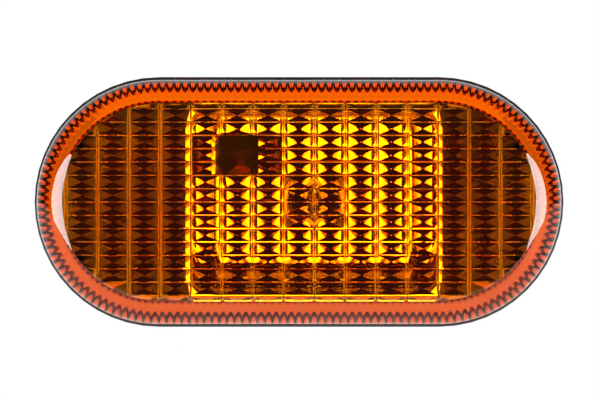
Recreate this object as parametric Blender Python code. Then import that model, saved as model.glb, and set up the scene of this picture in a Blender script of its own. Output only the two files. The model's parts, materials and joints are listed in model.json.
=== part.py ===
"""Oval side indicator lamp with an amber prism lens, for a vehicle's front wing.

Blender 4.5 script, in metres. The lens faces -Y, the long axis runs along X and +Z is up.
Y = 0 is the outer surface of the body panel that the foam gasket lies on.
"""

from math import atan2, ceil, cos, pi, radians, sin

import bmesh
import bpy
from mathutils import Vector

# Overall outline of the lamp: a straight middle with half-round ends
LAMP_LENGTH = 0.108
LAMP_HEIGHT = 0.051

# Clearance that neighbouring pieces keep, and how far joined shapes run into each other
SEAT_GAP = 0.0003
MERGE = 0.0008

# Foam gasket, die-cut from sheet
GASKET_THICKNESS = 0.002
GASKET_INSET = 0.0004
GASKET_LAND = 0.0029
GASKET_HOLE_CLEARANCE = 0.0004

# Housing: flange plate, locating spigot and the box that goes through the panel
FLANGE_THICKNESS = 0.0022
FLANGE_CHAMFER = 0.0004
SPIGOT_HEIGHT = 0.0016
SPIGOT_WALL = 0.0013
BOX_WALL = 0.0018
BOX_BACK_WALL = 0.002
BOX_DEPTH = 0.0135
BOX_CORNER = 0.006
BOX_CENTRE_X = 0.003
BOX_DRAFT = 0.0004
BOX_CHAMFER = 0.0012

# Fixed hook on the left end of the box and sprung tongue on the right end
PANEL_THICKNESS = 0.0008
CATCH_GAP = 0.0004
HOOK_WIDTH = 0.012
HOOK_REACH = 0.003
HOOK_NOSE = 0.0016
HOOK_RAMP = 0.0042
TONGUE_WIDTH = 0.014
TONGUE_THICKNESS = 0.0014
TONGUE_FLARE = 0.0028
TONGUE_ROOT_GAP = 0.0014
TONGUE_BARB = 0.0009
RIB_HEIGHT = 0.0012
RIB_WIDTH = 0.0014
RIB_LENGTH = 0.0115
RIB_PITCH = 0.0075
RIB_COUNT = 3

# Reflector: a bright dished tray inside the box
REFLECTOR_LENGTH = 0.050
REFLECTOR_WALL = 0.001
REFLECTOR_LIP = 0.0011
REFLECTOR_SIDE_TAPER = 0.002
REFLECTOR_FOOT_TAPER = 0.0085
REFLECTOR_CORNER = 0.0045
REFLECTOR_SECTIONS = 6
BULB_HOLE_CLEARANCE = 0.0009

# Lens: a shell with a smooth outside. Inside it has a steep bevel with flutes behind the rim and
# a field of prisms behind the face. The bevel's bow is its slope at the field, over its mean slope.
LENS_INSET = 0.0005
LENS_HEIGHT = 0.0103
LENS_SKIRT = 0.0012
LENS_WALL = 0.0018
LENS_FILLET = 0.006
LENS_DRAFT = 0.0002
LENS_CROWN = 0.0006
RIM_WIDTH = 0.005
BEVEL_BOW = 0.69
FLUTE_PITCH = 0.00155
FLUTE_DEPTH = 0.00072
FLUTE_START = 0.35
FLUTE_FADE = 0.4
PRISM_WIDTH = 0.00628
PRISM_HEIGHT = 0.00269
PRISM_RISE = 0.00119
COLUMN_LAND = 0.0006
ROW_LAND = 0.00022
PLATE_PROUD = 0.00015
PLATE_MARGIN = 0.0002
PAD_CENTRE_X = -0.0129
PAD_WIDTH = 0.0095
PAD_FIRST_ROW = 2
PAD_ROWS = 3

# Bayonet bulb holder and its seal
NOSE_RADIUS = 0.0068
NOSE_CLEARANCE = 0.0004
LUG_REACH = 0.0014
LUG_THICKNESS = 0.0016
LUG_ANGLE = 30.0
LUG_COUNT = 3
SLOT_MARGIN_ANGLE = 4.0
LOCK_ANGLE = 45.0
HOLDER_FLANGE_RADIUS = 0.0118
HOLDER_FLANGE_THICKNESS = 0.0022
SEAL_RADIUS = 0.0099
SEAL_SECTION = 0.0018
SEAL_GROOVE = 0.0006
GRIP_LENGTH = 0.0105
GRIP_WIDTH = 0.0022

# Connector shroud on the back of the holder
SHROUD_LENGTH = 0.0155
SHROUD_HEIGHT = 0.013
SHROUD_WALL = 0.0014
SHROUD_CORNER = 0.0018
SHROUD_DEPTH = 0.010
HOLDER_WEB = 0.002
KEY_WIDTH = 0.002
KEY_HEIGHT = 0.0009
RAMP_WIDTH = 0.005
RAMP_HEIGHT = 0.0013
RAMP_LENGTH = 0.0035

# Terminals
TERMINAL_WIDTH = 0.0028
TERMINAL_THICKNESS = 0.0006
TERMINAL_SPACING = 0.005
TERMINAL_CLEARANCE = 0.0003
BLADE_LENGTH = 0.0075
FINGER_LENGTH = 0.0062
FINGER_BOW = 0.0006

# Wedge-base capsule bulb
BULB_RADIUS = 0.00495
BULB_WALL = 0.0006
BULB_LENGTH = 0.0245
WEDGE_WIDTH = 0.0095
WEDGE_THICKNESS = 0.0022
WEDGE_LENGTH = 0.0078
WEDGE_SHOULDER = 0.0032
WIRE_RADIUS = 0.00022
WIRE_CLEARANCE = 0.0003
FILAMENT_LENGTH = 0.0034
FILAMENT_RADIUS = 0.0005
FILAMENT_WIRE = 0.00011
FILAMENT_TURNS = 8
FILAMENT_STANDOFF = 0.0062

# Steps round curved outlines
END_STEPS = 24
SIDE_STEPS = 1
CORNER_STEPS = 5
FILLET_STEPS = 5
BEVEL_STEPS = 4
DOME_STEPS = 5
CROWN_STEPS = 3
ROUND_STEPS = 32
SHARP_ANGLE = radians(32)

# Depths, worked out from the panel's surface outwards. Forwards is -Y.
FLANGE_BACK_Y = -(GASKET_THICKNESS + SEAT_GAP)
FLANGE_FRONT_Y = FLANGE_BACK_Y - FLANGE_THICKNESS
LENS_REAR_Y = FLANGE_FRONT_Y - SEAT_GAP
LENS_FACE_Y = LENS_REAR_Y - LENS_HEIGHT
LENS_SHOULDER_Y = LENS_FACE_Y + LENS_FILLET
FIELD_Y = LENS_FACE_Y + LENS_WALL
FLUTE_END_Y = FLANGE_FRONT_Y - SPIGOT_HEIGHT - SEAT_GAP
BEVEL_FOOT_Y = FLUTE_END_Y - SEAT_GAP
BOX_BACK_Y = BOX_DEPTH
BOX_FLOOR_Y = BOX_BACK_Y - BOX_BACK_WALL
LUG_BACK_Y = BOX_FLOOR_Y - SEAT_GAP
LUG_FRONT_Y = LUG_BACK_Y - LUG_THICKNESS
REFLECTOR_BACK_Y = LUG_FRONT_Y - SEAT_GAP
LIP_BACK_Y = FLANGE_FRONT_Y - SEAT_GAP
LIP_FRONT_Y = LIP_BACK_Y - REFLECTOR_WALL

# Sizes across, worked out from the outline inwards
GASKET_LENGTH = LAMP_LENGTH - 2 * GASKET_INSET
GASKET_HEIGHT = LAMP_HEIGHT - 2 * GASKET_INSET
BOX_HEIGHT = GASKET_HEIGHT - 2 * (GASKET_LAND + GASKET_HOLE_CLEARANCE)
POCKET_HEIGHT = BOX_HEIGHT - 2 * BOX_WALL
TRAY_HEIGHT = POCKET_HEIGHT - 2 * SEAT_GAP
REFLECTOR_HEIGHT = TRAY_HEIGHT - 2 * REFLECTOR_WALL
TRAY_LENGTH = REFLECTOR_LENGTH + 2 * REFLECTOR_WALL
POCKET_LENGTH = TRAY_LENGTH + 2 * SEAT_GAP
BOX_LENGTH = POCKET_LENGTH + 2 * BOX_WALL
LENS_LENGTH = LAMP_LENGTH - 2 * LENS_INSET
LENS_HEIGHT_Z = LAMP_HEIGHT - 2 * LENS_INSET
SPIGOT_INSET = LENS_INSET + LENS_SKIRT + SEAT_GAP

# Bayonet: the lugs' radius, the key slots' radius and the holder's place in the middle of the box
LUG_RADIUS = NOSE_RADIUS + LUG_REACH
SLOT_RADIUS = LUG_RADIUS + NOSE_CLEARANCE
HOLDER_X = BOX_CENTRE_X
HOLDER_Z = 0.0

# Depths of the holder and the bulb
NOSE_FRONT_Y = LUG_FRONT_Y
SEAL_Y = BOX_BACK_Y + SEAT_GAP + SEAL_SECTION / 2
HOLDER_FLANGE_Y = SEAL_Y + SEAL_SECTION / 2 + SEAT_GAP - SEAL_GROOVE
WEDGE_END_Y = NOSE_FRONT_Y + WEDGE_LENGTH
BULB_TIP_Y = WEDGE_END_Y - BULB_LENGTH
FILAMENT_Y = NOSE_FRONT_Y - FILAMENT_STANDOFF
CRANK_START_Y = WEDGE_END_Y + 2 * WIRE_RADIUS + 3 * SEAT_GAP
TERMINAL_Z = WEDGE_THICKNESS / 2 + 2 * WIRE_RADIUS + 2 * SEAT_GAP + TERMINAL_THICKNESS / 2 + FINGER_BOW
CRANK_END_Y = CRANK_START_Y + TERMINAL_Z
CHAMBER_END_Y = CRANK_END_Y + TERMINAL_CLEARANCE
SHROUD_FLOOR_Y = CHAMBER_END_Y + HOLDER_WEB
HOLDER_END_Y = SHROUD_FLOOR_Y + SHROUD_DEPTH
BLADE_END_Y = SHROUD_FLOOR_Y + BLADE_LENGTH
FINGER_START_Y = CRANK_START_Y - FINGER_LENGTH


# Outlines, as points (x, z) in a plane across the Y axis


def stadium(length, height, inset=0.0, side_steps=SIDE_STEPS, end_steps=END_STEPS):
    """An outline with two straight sides and two half-round ends, drawn in by inset."""
    radius = height / 2 - inset
    half = (length - height) / 2
    points = []
    for side, start in ((1, -pi / 2), (-1, pi / 2)):
        for i in range(end_steps):
            angle = start + pi * i / end_steps
            points.append((side * half + radius * cos(angle), radius * sin(angle)))
        for i in range(side_steps):
            points.append((side * half * (1 - 2 * i / side_steps), side * radius))
    return points


def fluted(length, height, inset, depth, side_steps, end_steps):
    """A stadium whose every second point is drawn in by depth, which gives V flutes."""
    ridge = stadium(length, height, inset + depth, side_steps, end_steps)
    valley = stadium(length, height, inset, side_steps, end_steps)
    return [ridge[i] if i % 2 else valley[i] for i in range(len(ridge))]


def rounded_rectangle(length, height, corner, centre=(0.0, 0.0)):
    """A rectangle with round corners about a centre."""
    corner = min(corner, 0.49 * length, 0.49 * height)
    points = []
    for quarter, (sx, sz) in enumerate(((1, 1), (-1, 1), (-1, -1), (1, -1))):
        cx = centre[0] + sx * (length / 2 - corner)
        cz = centre[1] + sz * (height / 2 - corner)
        for i in range(CORNER_STEPS + 1):
            angle = pi / 2 * (quarter + i / CORNER_STEPS)
            points.append((cx + corner * cos(angle), cz + corner * sin(angle)))
    return points


def circle(radius, centre=(0.0, 0.0), steps=ROUND_STEPS):
    """A circle about a centre."""
    turns = [2 * pi * i / steps for i in range(steps)]
    return [(centre[0] + radius * cos(a), centre[1] + radius * sin(a)) for a in turns]


def sector(inner, outer, middle_deg, width_deg, steps=4):
    """A piece of a ring, from one radius to another, centred on an angle."""
    start = radians(middle_deg - width_deg / 2)
    angles = [start + radians(width_deg) * i / steps for i in range(steps + 1)]
    there = [(outer * cos(a), outer * sin(a)) for a in angles]
    back = [(inner * cos(a), inner * sin(a)) for a in reversed(angles)]
    return there + back


def at_depth(outline, y):
    """The outline's points in space at one depth."""
    return [Vector((x, y, z)) for x, z in outline]


# Solids


def add_object(name, bm):
    """A new object from a bmesh, with its faces turned outwards."""
    bmesh.ops.recalc_face_normals(bm, faces=bm.faces)
    mesh = bpy.data.meshes.new(name)
    bm.to_mesh(mesh)
    bm.free()
    obj = bpy.data.objects.new(name, mesh)
    bpy.context.scene.collection.objects.link(obj)
    return obj


def loft(name, sections):
    """A closed solid through sections of equal point counts, capped at both ends."""
    bm = bmesh.new()
    rings = [[bm.verts.new(point) for point in section] for section in sections]
    for ring, following in zip(rings, rings[1:]):
        for i, vert in enumerate(ring):
            j = (i + 1) % len(ring)
            bm.faces.new((vert, ring[j], following[j], following[i]))
    bm.faces.new(rings[0])
    bm.faces.new(rings[-1])
    return add_object(name, bm)


def prism(name, outline, start_y, end_y):
    """A straight solid along Y with one outline."""
    return loft(name, [at_depth(outline, start_y), at_depth(outline, end_y)])


def box(name, x_range, y_range, z_range):
    """A rectangular block between three pairs of limits."""
    (x0, x1), (z0, z1) = x_range, z_range
    return prism(name, [(x0, z0), (x1, z0), (x1, z1), (x0, z1)], *y_range)


def extruded_plan(name, plan, z_range):
    """A solid along Z from an outline of (x, y) points."""
    return loft(name, [[Vector((x, y, z)) for x, y in plan] for z in z_range])


def turned(name, profile, steps=ROUND_STEPS, closed=False):
    """A solid of revolution about the Y axis, from points (radius, y)."""
    bm = bmesh.new()
    rings = []
    for radius, y in profile:
        if radius == 0.0:
            rings.append([bm.verts.new((0.0, y, 0.0))] * steps)
        else:
            rings.append([bm.verts.new(p) for p in at_depth(circle(radius, steps=steps), y)])
    pairs = list(zip(rings, rings[1:]))
    if closed:
        pairs.append((rings[-1], rings[0]))
    for ring, following in pairs:
        for i in range(steps):
            j = (i + 1) % steps
            corners = (ring[i], ring[j], following[j], following[i])
            bm.faces.new(tuple(dict.fromkeys(corners)))
    return add_object(name, bm)


def strip(name, path, thickness, width, centre_x):
    """A bent metal strip: a path of (y, z) points given a thickness, and a width along X."""
    sides = ([], [])
    for i, (y, z) in enumerate(path):
        before = Vector(path[max(i - 1, 0)])
        after = Vector(path[min(i + 1, len(path) - 1)])
        here = Vector((y, z))
        run_in = (here - before).normalized() if i else (after - here).normalized()
        run_out = (after - here).normalized() if i < len(path) - 1 else run_in
        along = (run_in + run_out).normalized()
        normal = Vector((-along.y, along.x))
        reach = thickness / 2 / max(0.5, normal.dot(Vector((-run_in.y, run_in.x))))
        sides[0].append(here + normal * reach)
        sides[1].append(here - normal * reach)
    outline = sides[0] + sides[1][::-1]
    faces = [[Vector((centre_x + side * width / 2, p.x, p.y)) for p in outline] for side in (-1, 1)]
    return loft(name, faces)


def wire(name, points, radius):
    """A round wire along a smooth line of points, with closed ends."""
    curve = bpy.data.curves.new(name, "CURVE")
    curve.dimensions = "3D"
    curve.bevel_depth = radius
    curve.bevel_resolution = 1
    curve.use_fill_caps = True
    spline = curve.splines.new("POLY")
    spline.points.add(len(points) - 1)
    for target, point in zip(spline.points, points):
        target.co = (*point, 1.0)
    obj = bpy.data.objects.new(name, curve)
    bpy.context.scene.collection.objects.link(obj)
    return obj


def combine(base, other, operation):
    """Joins other to base, or cuts it away, and removes other."""
    modifier = base.modifiers.new(operation, "BOOLEAN")
    modifier.operation = operation
    modifier.object = other
    modifier.solver = "EXACT"
    graph = bpy.context.evaluated_depsgraph_get()
    mesh = bpy.data.meshes.new_from_object(base.evaluated_get(graph))
    base.modifiers.clear()
    base.data = mesh
    bpy.data.objects.remove(other)


def join(base, *others):
    """Adds each other solid to base."""
    for other in others:
        combine(base, other, "UNION")


def cut(base, *cutters):
    """Cuts each cutter out of base."""
    for cutter in cutters:
        combine(base, cutter, "DIFFERENCE")


def plastic(name, colour, roughness, metallic=0.0, transmission=0.0):
    """A Principled material with one colour."""
    material = bpy.data.materials.new(name)
    material.use_nodes = True
    shader = material.node_tree.nodes["Principled BSDF"]
    shader.inputs["Base Color"].default_value = (*colour, 1.0)
    shader.inputs["Roughness"].default_value = roughness
    shader.inputs["Metallic"].default_value = metallic
    shader.inputs["Transmission Weight"].default_value = transmission
    return material


def dress(obj, material, parent=None):
    """Gives a finished piece its material, its smooth shading and its parent."""
    obj.data.materials.clear()
    obj.data.materials.append(material)
    if obj.type == "MESH":
        obj.data.shade_smooth()
        obj.data.set_sharp_from_angle(angle=SHARP_ANGLE)
    obj.parent = parent
    return obj


# Lens


def lens_body():
    """The lens filled solid: skirt, and a rounded edge that runs smoothly into the crowned face."""
    outline = (LENS_LENGTH, LENS_HEIGHT_Z)
    reach = LENS_HEIGHT_Z / 2 - LENS_DRAFT - LENS_FILLET
    fillet_end = atan2(reach, 2 * LENS_CROWN)
    sections = [at_depth(stadium(*outline), LENS_REAR_Y)]
    for i in range(FILLET_STEPS + 1):
        angle = fillet_end * i / FILLET_STEPS
        inset = LENS_DRAFT + LENS_FILLET * (1 - cos(angle))
        depth = LENS_SHOULDER_Y - LENS_FILLET * sin(angle)
        sections.append(at_depth(stadium(*outline, inset), depth))
    edge, edge_y = inset, depth
    rise = edge_y - (LENS_FACE_Y - LENS_CROWN)
    for i in range(1, CROWN_STEPS + 1):
        share = 0.9 * i / CROWN_STEPS
        ring = stadium(*outline, edge + share * (LENS_HEIGHT_Z / 2 - edge))
        sections.append(at_depth(ring, edge_y - rise * (1 - (1 - share) ** 2)))
    return loft("lens", sections)


def lens_cavity():
    """The hollow of the lens: a skirt, a bevel with flutes that fade out on it, and a flat field."""
    outline = (LENS_LENGTH, LENS_HEIGHT_Z)
    radius = LENS_HEIGHT_Z / 2 - LENS_SKIRT
    side_steps = 2 * round((LENS_LENGTH - LENS_HEIGHT_Z) / FLUTE_PITCH)
    end_steps = 2 * round(pi * radius / FLUTE_PITCH)
    steps = (side_steps, end_steps)
    skirt = stadium(*outline, LENS_SKIRT, *steps)
    sections = [at_depth(skirt, LENS_REAR_Y + MERGE), at_depth(skirt, FLUTE_END_Y)]
    for i in range(BEVEL_STEPS + 1):
        share = 1 - i / BEVEL_STEPS
        inset = RIM_WIDTH + (LENS_SKIRT - RIM_WIDTH) * share
        fall = BEVEL_BOW * share + (1 - BEVEL_BOW) * share**2
        flute = FLUTE_DEPTH * min(1.0, max(0.0, (share - FLUTE_START) / FLUTE_FADE))
        ring = fluted(*outline, inset, flute, *steps)
        sections.append(at_depth(ring, FIELD_Y + (BEVEL_FOOT_Y - FIELD_Y) * fall))
    return loft("lens_cavity", sections)


def centred_lines(pitch, land, half_extent, on_line):
    """Start and end of each prism along one axis. A boundary is at 0 where on_line is true."""
    count = ceil(half_extent / pitch + (0.0 if on_line else 0.5))
    first = -count * pitch if on_line else -(count - 0.5) * pitch
    total = 2 * count if on_line else 2 * count - 1
    starts = [first + i * pitch for i in range(total)]
    return [(start + land / 2, start + pitch - land / 2) for start in starts]


def prism_columns():
    """The columns of prisms, with one column on the lens's middle."""
    return centred_lines(PRISM_WIDTH, COLUMN_LAND, LENS_LENGTH / 2 - RIM_WIDTH, False)


def prism_rows():
    """The rows of prisms, with a boundary on the lens's middle."""
    return centred_lines(PRISM_HEIGHT, ROW_LAND, LENS_HEIGHT_Z / 2 - RIM_WIDTH, True)


def pad_limits():
    """The clear pad among the prisms: x range, and z range on whole rows."""
    z_range = (PAD_FIRST_ROW * PRISM_HEIGHT, (PAD_FIRST_ROW + PAD_ROWS) * PRISM_HEIGHT)
    return (PAD_CENTRE_X - PAD_WIDTH / 2, PAD_CENTRE_X + PAD_WIDTH / 2), z_range


def prism_plate():
    """A plate with a four-sided prism in each cell and flat lands between the cells."""
    bm = bmesh.new()
    xs = [edge for column in prism_columns() for edge in column]
    zs = [edge for row in prism_rows() for edge in row]
    land_y = FIELD_Y + PLATE_PROUD
    grid = [[bm.verts.new((x, land_y, z)) for z in zs] for x in xs]
    for i in range(len(xs) - 1):
        for k in range(len(zs) - 1):
            corners = (grid[i][k], grid[i + 1][k], grid[i + 1][k + 1], grid[i][k + 1])
            if i % 2 or k % 2:
                bm.faces.new(corners)
                continue
            peak = ((xs[i] + xs[i + 1]) / 2, land_y + PRISM_RISE, (zs[k] + zs[k + 1]) / 2)
            apex = bm.verts.new(peak)
            for a, b in zip(corners, corners[1:] + corners[:1]):
                bm.faces.new((a, b, apex))
    rim = [row[0] for row in grid] + grid[-1][1:]
    rim += [row[-1] for row in reversed(grid[:-1])] + grid[0][-2:0:-1]
    buried = [bm.verts.new((v.co.x, FIELD_Y - MERGE, v.co.z)) for v in rim]
    for i in range(len(rim)):
        j = (i + 1) % len(rim)
        bm.faces.new((rim[i], rim[j], buried[j], buried[i]))
    bm.faces.new(buried)
    return add_object("prism_plate", bm)


def make_lens():
    """The one-piece lens: shell, bevel with flutes, prism field and clear pad."""
    lens = lens_body()
    cut(lens, lens_cavity())
    field = prism_plate()
    outline = stadium(LENS_LENGTH, LENS_HEIGHT_Z, RIM_WIDTH + PLATE_MARGIN)
    clip = prism("field_clip", outline, FIELD_Y - 2 * MERGE, FIELD_Y + 3 * PRISM_RISE)
    combine(field, clip, "INTERSECT")
    x_range, z_range = pad_limits()
    cut(field, box("pad", x_range, (FIELD_Y + PLATE_PROUD / 3, FIELD_Y + 3 * PRISM_RISE), z_range))
    join(lens, field)
    return lens


# Housing, gasket and reflector


def make_gasket():
    """The foam gasket: a stadium of sheet with a hole for the box."""
    front = -GASKET_THICKNESS
    gasket = prism("panel_gasket", stadium(GASKET_LENGTH, GASKET_HEIGHT), 0.0, front)
    hole = rounded_rectangle(
        BOX_LENGTH + 2 * GASKET_HOLE_CLEARANCE,
        BOX_HEIGHT + 2 * GASKET_HOLE_CLEARANCE,
        BOX_CORNER + GASKET_HOLE_CLEARANCE,
        (BOX_CENTRE_X, 0.0),
    )
    cut(gasket, prism("gasket_hole", hole, front - MERGE, MERGE))
    return gasket


def make_flange():
    """The housing's flange plate, with a small chamfer round both edges."""
    steps = (
        (FLANGE_CHAMFER, FLANGE_BACK_Y),
        (0.0, FLANGE_BACK_Y - FLANGE_CHAMFER),
        (0.0, FLANGE_FRONT_Y + FLANGE_CHAMFER),
        (min(FLANGE_CHAMFER, 0.8 * LENS_INSET), FLANGE_FRONT_Y),
    )
    return loft("housing", [at_depth(stadium(LAMP_LENGTH, LAMP_HEIGHT, i), y) for i, y in steps])


def make_spigot():
    """The low wall that centres the lens on the flange."""
    front = FLANGE_FRONT_Y - SPIGOT_HEIGHT
    back = FLANGE_FRONT_Y + MERGE
    outer = stadium(LAMP_LENGTH, LAMP_HEIGHT, SPIGOT_INSET)
    inner = stadium(LAMP_LENGTH, LAMP_HEIGHT, SPIGOT_INSET + SPIGOT_WALL)
    spigot = prism("spigot", outer, front, back)
    cut(spigot, prism("spigot_inside", inner, front - MERGE, back + MERGE))
    return spigot


def box_section(grow, y):
    """The box's outline at one depth, grown or shrunk all round."""
    outline = rounded_rectangle(
        BOX_LENGTH + 2 * grow, BOX_HEIGHT + 2 * grow, BOX_CORNER + grow, (BOX_CENTRE_X, 0.0)
    )
    return at_depth(outline, y)


def make_box():
    """The box behind the flange: slightly tapered, with a chamfer round its back."""
    return loft("box", [
        box_section(0.0, FLANGE_BACK_Y - MERGE),
        box_section(-BOX_DRAFT, BOX_BACK_Y - BOX_CHAMFER),
        box_section(-BOX_DRAFT - BOX_CHAMFER, BOX_BACK_Y),
    ])


def make_pocket():
    """The hollow of the box, open at the front of the flange."""
    front = FLANGE_FRONT_Y - MERGE
    return loft("pocket", [
        box_section(-BOX_WALL, front),
        box_section(-BOX_WALL, FLANGE_BACK_Y),
        box_section(-BOX_WALL - BOX_DRAFT, BOX_FLOOR_Y),
    ])


def make_hook():
    """The fixed hook, which goes behind the edge of the panel's hole first."""
    wall = BOX_CENTRE_X - BOX_LENGTH / 2
    catch = PANEL_THICKNESS + CATCH_GAP
    plan = (
        (wall + MERGE, catch),
        (wall - HOOK_REACH, catch),
        (wall - HOOK_REACH, catch + HOOK_NOSE),
        (wall, catch + HOOK_NOSE + HOOK_RAMP),
        (wall + MERGE, catch + HOOK_NOSE + HOOK_RAMP),
    )
    return extruded_plan("hook", plan, (-HOOK_WIDTH / 2, HOOK_WIDTH / 2))


def make_tongue():
    """The sprung tongue: rooted at the box's back, with its free end towards the panel."""
    wall = BOX_CENTRE_X + BOX_LENGTH / 2 - BOX_DRAFT
    tip = PANEL_THICKNESS + CATCH_GAP
    root = BOX_BACK_Y - BOX_CHAMFER - MERGE
    inner_root = wall + TONGUE_ROOT_GAP
    inner_tip = inner_root + TONGUE_FLARE
    plan = (
        (wall - MERGE, root),
        (inner_root + TONGUE_THICKNESS, root),
        (inner_tip + TONGUE_THICKNESS + TONGUE_BARB, tip + 3 * TONGUE_BARB),
        (inner_tip + TONGUE_THICKNESS + TONGUE_BARB, tip + 2 * TONGUE_BARB),
        (inner_tip + TONGUE_THICKNESS, tip + TONGUE_BARB),
        (inner_tip + TONGUE_THICKNESS, tip),
        (inner_tip, tip),
        (inner_root, root - 1.6 * TONGUE_THICKNESS),
        (wall - MERGE, root - 1.2 * TONGUE_THICKNESS),
    )
    return extruded_plan("tongue", plan, (-TONGUE_WIDTH / 2, TONGUE_WIDTH / 2))


def make_back_ribs():
    """Stiffening ribs across the box's back, on both sides of the holder."""
    reach = BOX_LENGTH / 2 - BOX_DRAFT - 2 * BOX_CHAMFER
    ribs = []
    for side in (-1, 1):
        ends = [BOX_CENTRE_X + side * (reach - RIB_LENGTH), BOX_CENTRE_X + side * reach]
        for i in range(RIB_COUNT):
            z = (i - (RIB_COUNT - 1) / 2) * RIB_PITCH
            z_range = (z - RIB_WIDTH / 2, z + RIB_WIDTH / 2)
            y_range = (BOX_BACK_Y - MERGE, BOX_BACK_Y + RIB_HEIGHT)
            ribs.append(box(f"rib_{side}_{i}", sorted(ends), y_range, z_range))
    return ribs


def lug_angles():
    """Where the holder's lugs stand when it is locked, seen from the front."""
    return [90.0 + 360.0 * i / LUG_COUNT for i in range(LUG_COUNT)]


def bayonet_cutters():
    """The round hole for the holder's nose and the key slots for its lugs."""
    y_range = (BOX_FLOOR_Y - MERGE, BOX_BACK_Y + MERGE)
    centre = (HOLDER_X, HOLDER_Z)
    hole = prism("bayonet_hole", circle(NOSE_RADIUS + NOSE_CLEARANCE, centre), *y_range)
    slots = []
    for i, angle in enumerate(lug_angles()):
        width = LUG_ANGLE + 2 * SLOT_MARGIN_ANGLE
        outline = sector(NOSE_RADIUS / 2, SLOT_RADIUS, angle - LOCK_ANGLE, width)
        moved = [(x + HOLDER_X, z + HOLDER_Z) for x, z in outline]
        slots.append(prism(f"key_slot_{i}", moved, *y_range))
    return [hole, *slots]


def make_housing():
    """The moulded housing: flange, spigot, box, hook, tongue, ribs and bayonet opening."""
    housing = make_flange()
    join(housing, make_spigot(), make_box(), make_hook(), make_tongue(), *make_back_ribs())
    cut(housing, make_pocket(), *bayonet_cutters())
    return housing


def dish_section(grow, share, y):
    """The reflector's outline at one depth, drawn in by a share of its tapers."""
    side = share * REFLECTOR_SIDE_TAPER
    foot = share * REFLECTOR_FOOT_TAPER
    outline = rounded_rectangle(
        REFLECTOR_LENGTH + 2 * (grow - side),
        REFLECTOR_HEIGHT + 2 * grow - side - foot,
        REFLECTOR_CORNER + grow,
        (BOX_CENTRE_X, (foot - side) / 2),
    )
    return at_depth(outline, y)


def dish(name, grow, front_y, back_y):
    """The dished form of the reflector: steep at the top and ends, and sweeping up at its foot."""
    sections = [dish_section(grow, 0.0, front_y)]
    depth = back_y - LIP_BACK_Y
    for i in range(REFLECTOR_SECTIONS + 1):
        angle = pi / 2 * i / REFLECTOR_SECTIONS
        sections.append(dish_section(grow, 1 - cos(angle), LIP_BACK_Y + depth * sin(angle)))
    return loft(name, sections)


def make_reflector():
    """The bright tray: a lip on the flange, dished walls and a hole for the bulb."""
    reflector = prism("reflector", rounded_rectangle(
        TRAY_LENGTH + 2 * REFLECTOR_LIP,
        TRAY_HEIGHT + 2 * REFLECTOR_LIP,
        REFLECTOR_CORNER + REFLECTOR_WALL + REFLECTOR_LIP,
        (BOX_CENTRE_X, 0.0),
    ), LIP_FRONT_Y, LIP_BACK_Y)
    join(reflector, dish("tray", REFLECTOR_WALL, LIP_FRONT_Y + REFLECTOR_WALL / 2, REFLECTOR_BACK_Y))
    hole = circle(BULB_RADIUS + BULB_HOLE_CLEARANCE, (HOLDER_X, HOLDER_Z))
    cut(
        reflector,
        dish("tray_inside", 0.0, LIP_FRONT_Y - MERGE, REFLECTOR_BACK_Y - REFLECTOR_WALL),
        prism("bulb_hole", hole, LIP_BACK_Y + REFLECTOR_WALL, REFLECTOR_BACK_Y + MERGE),
    )
    return reflector


# Bulb holder, seal and terminals, about the holder's own axis


def holder_core():
    """The turned part of the holder: nose, flange with its seal groove, and boss."""
    groove = SEAL_SECTION / 2 + SEAT_GAP
    front = HOLDER_FLANGE_Y
    back = front + HOLDER_FLANGE_THICKNESS
    return turned("bulb_holder", (
        (0.0, NOSE_FRONT_Y),
        (NOSE_RADIUS - SEAT_GAP, NOSE_FRONT_Y),
        (NOSE_RADIUS, NOSE_FRONT_Y + SEAT_GAP),
        (NOSE_RADIUS, front),
        (SEAL_RADIUS - groove, front),
        (SEAL_RADIUS - groove, front + SEAL_GROOVE),
        (SEAL_RADIUS + groove, front + SEAL_GROOVE),
        (SEAL_RADIUS + groove, front),
        (HOLDER_FLANGE_RADIUS, front),
        (HOLDER_FLANGE_RADIUS, back),
        (0.0, back),
    ))


def holder_shroud():
    """The connector shroud with its latch ramp, solid inside."""
    outline = rounded_rectangle(SHROUD_LENGTH, SHROUD_HEIGHT, SHROUD_CORNER)
    shroud = prism("shroud", outline, HOLDER_FLANGE_Y + MERGE, HOLDER_END_Y)
    top = SHROUD_HEIGHT / 2
    ramp_back = HOLDER_END_Y - RAMP_HEIGHT
    profile = (
        (ramp_back - RAMP_LENGTH, top - MERGE),
        (ramp_back - RAMP_LENGTH, top + RAMP_HEIGHT),
        (ramp_back, top),
        (ramp_back, top - MERGE),
    )
    sides = (-RAMP_WIDTH / 2, RAMP_WIDTH / 2)
    ramp = loft("latch_ramp", [[Vector((x, y, z)) for y, z in profile] for x in sides])
    join(shroud, ramp)
    return shroud


def holder_grips():
    """Two finger grips on the flange's back, either side of the shroud."""
    back = HOLDER_FLANGE_Y + HOLDER_FLANGE_THICKNESS
    grips = []
    for side in (-1, 1):
        outer = side * (HOLDER_FLANGE_RADIUS - GRIP_WIDTH)
        inner = side * (SHROUD_LENGTH / 2 - SHROUD_WALL / 2)
        x_range = (min(inner, outer), max(inner, outer))
        z_range = (-GRIP_WIDTH / 2, GRIP_WIDTH / 2)
        grips.append(box(f"grip_{side}", x_range, (back - MERGE, back + GRIP_LENGTH), z_range))
    return grips


def terminal_places():
    """(x, side) of each terminal: one above the wedge on the left, one below on the right."""
    return ((-TERMINAL_SPACING / 2, 1), (TERMINAL_SPACING / 2, -1))


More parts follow.
